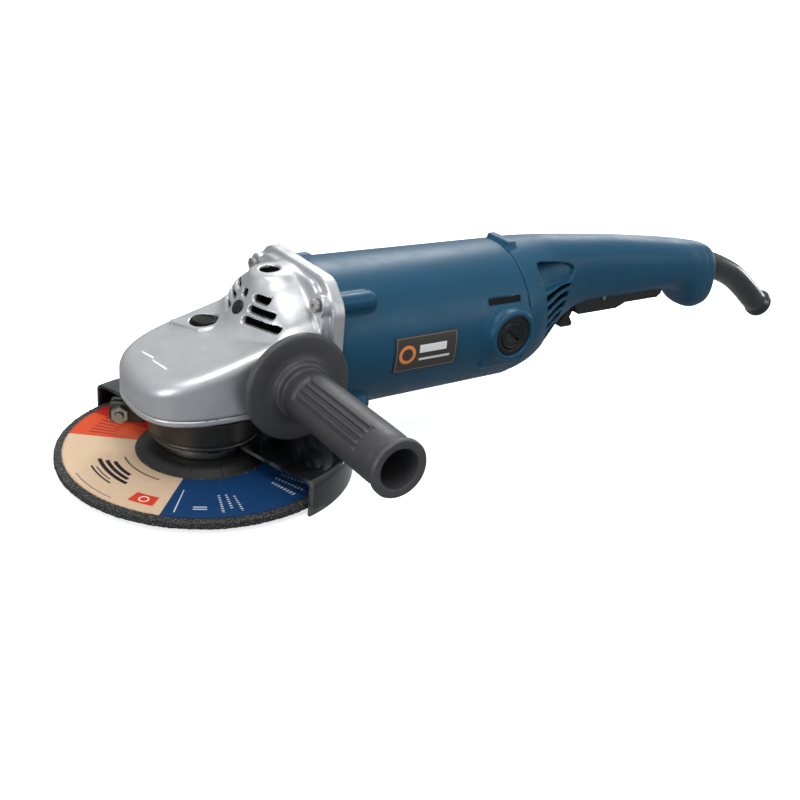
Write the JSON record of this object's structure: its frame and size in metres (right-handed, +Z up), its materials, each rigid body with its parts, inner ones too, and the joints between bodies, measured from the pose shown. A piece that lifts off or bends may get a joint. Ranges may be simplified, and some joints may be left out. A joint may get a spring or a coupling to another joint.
{
  "type": "angle grinder",
  "caption": "Corded two-handed angle grinder: cast gear head, guarded abrasive wheel, side handle, barrel motor housing and a bent tail handle with a paddle trigger.",
  "frame": {"origin": "centre of the spindle's flat end face", "axes": "+Z up the spindle, away from the wheel; +X from the gear head to the tail handle; the side handle stands out towards -Y"},
  "size_m": [0.6069, 0.254, 0.1234],
  "materials": {
    "casting": "satin",
    "steel": "machined",
    "dark_steel": "blackened",
    "blue_shell": "satin",
    "black_shell": "satin",
    "dark_grip": "matt",
    "boot_rubber": "semi-gloss",
    "black_paint": "gloss",
    "abrasive": "coarse grit",
    "copper": "bare",
    "core_iron": "laminated",
    "carbon": "matt",
    "label_plate": "satin"
  },
  "bodies": {
    "body": {"gear_case": "casting", "bearing_box": "casting", "gear_case_screw_1": "dark_steel", "gear_case_screw_2": "dark_steel", "gear_case_screw_3": "dark_steel", "gear_case_screw_4": "dark_steel", "spindle_bearing_outer": "steel", "spindle_top_bush": "copper", "front_bearing_outer": "steel", "rear_bearing_outer": "steel", "stator_core": "core_iron", "field_coil_lower": "copper", "field_coil_upper": "copper", "fan_baffle": "black_shell", "motor_housing": "blue_shell", "name_plate": "label_plate", "brush_holder_left": "black_shell", "brush_holder_right": "black_shell", "carbon_brush_left": "carbon", "carbon_brush_right": "carbon", "brush_spring_left": "steel", "brush_spring_right": "steel", "brush_cap_left": "black_shell", "brush_cap_right": "black_shell", "handle_shell_left": "blue_shell", "handle_shell_right": "blue_shell", "switch_body": "black_shell", "trigger_pin": "steel", "cord_guard": "boot_rubber", "side_handle_grip": "dark_grip", "side_handle_stud": "steel", "shaft_lock_spring": "steel"},
    "spindle_set": {"spindle": "steel", "spindle_bearing_inner": "steel", "driven_gear": "steel", "inner_flange": "steel", "grinding_wheel": "abrasive", "lock_nut": "dark_steel"},
    "armature": {"armature_shaft": "steel", "armature_core": "core_iron", "armature_coil_front": "copper", "armature_coil_rear": "copper", "commutator": "copper", "cooling_fan": "black_shell", "drive_pinion": "steel", "pinion_nut": "dark_steel", "front_bearing_inner": "steel", "rear_bearing_inner": "steel"},
    "guard": {"wheel_guard": "black_paint", "guard_band": "dark_steel", "guard_clamp_screw": "steel", "guard_clamp_nut": "steel"},
    "lock_button": {"shaft_lock_button": "black_shell"},
    "trigger_set": {"trigger": "black_shell", "lock_lever_pin": "steel"},
    "lever": {"lock_lever": "black_shell"},
    "plunger": {"switch_plunger": "black_shell"}
  },
  "joints": [
    {"name": "spindle_spin", "type": "hinge", "parent": "body", "child": "spindle_set", "pos_m": [0, 0, 0.04], "axis": [0, 0, 1], "continuous": true},
    {"name": "armature_spin", "type": "hinge", "parent": "body", "child": "armature", "pos_m": [0.13, 0, 0.0715], "axis": [1, 0, 0], "continuous": true},
    {"name": "guard_swivel", "type": "hinge", "parent": "body", "child": "guard", "pos_m": [0, 0, 0.029], "axis": [0, 0, 1], "range_deg": [-60, 60]},
    {"name": "shaft_lock", "type": "slide", "parent": "body", "child": "lock_button", "axis": [0, 0, -1], "range_m": [0, 0.005], "stiffness_N_per_m": 400, "springref_m": -0.002, "deforming": ["shaft_lock_spring"]},
    {"name": "trigger_pull", "type": "hinge", "parent": "body", "child": "trigger_set", "pos_m": [0.3094, 0, 0.0708], "axis": [0, -1, 0], "range_deg": [0, 5], "stiffness_Nm_per_rad": 1.5, "springref_deg": -3.44},
    {"name": "lock_lever_swing", "type": "hinge", "parent": "trigger_set", "child": "lever", "pos_m": [0.29, 0, 0.0655], "axis": [0, -1, 0], "range_deg": [0, 28], "stiffness_Nm_per_rad": 0.03, "springref_deg": -11.46},
    {"name": "switch_plunge", "type": "slide", "parent": "body", "child": "plunger", "axis": [0, 0, 1], "range_m": [0, 0.0032]}
  ],
  "couplings": [
    {"joint": "armature_spin", "follows": "spindle_spin", "ratio": 3.3},
    {"joint": "switch_plunge", "follows": "trigger_pull", "m_per_rad": 0.0356}
  ]
}
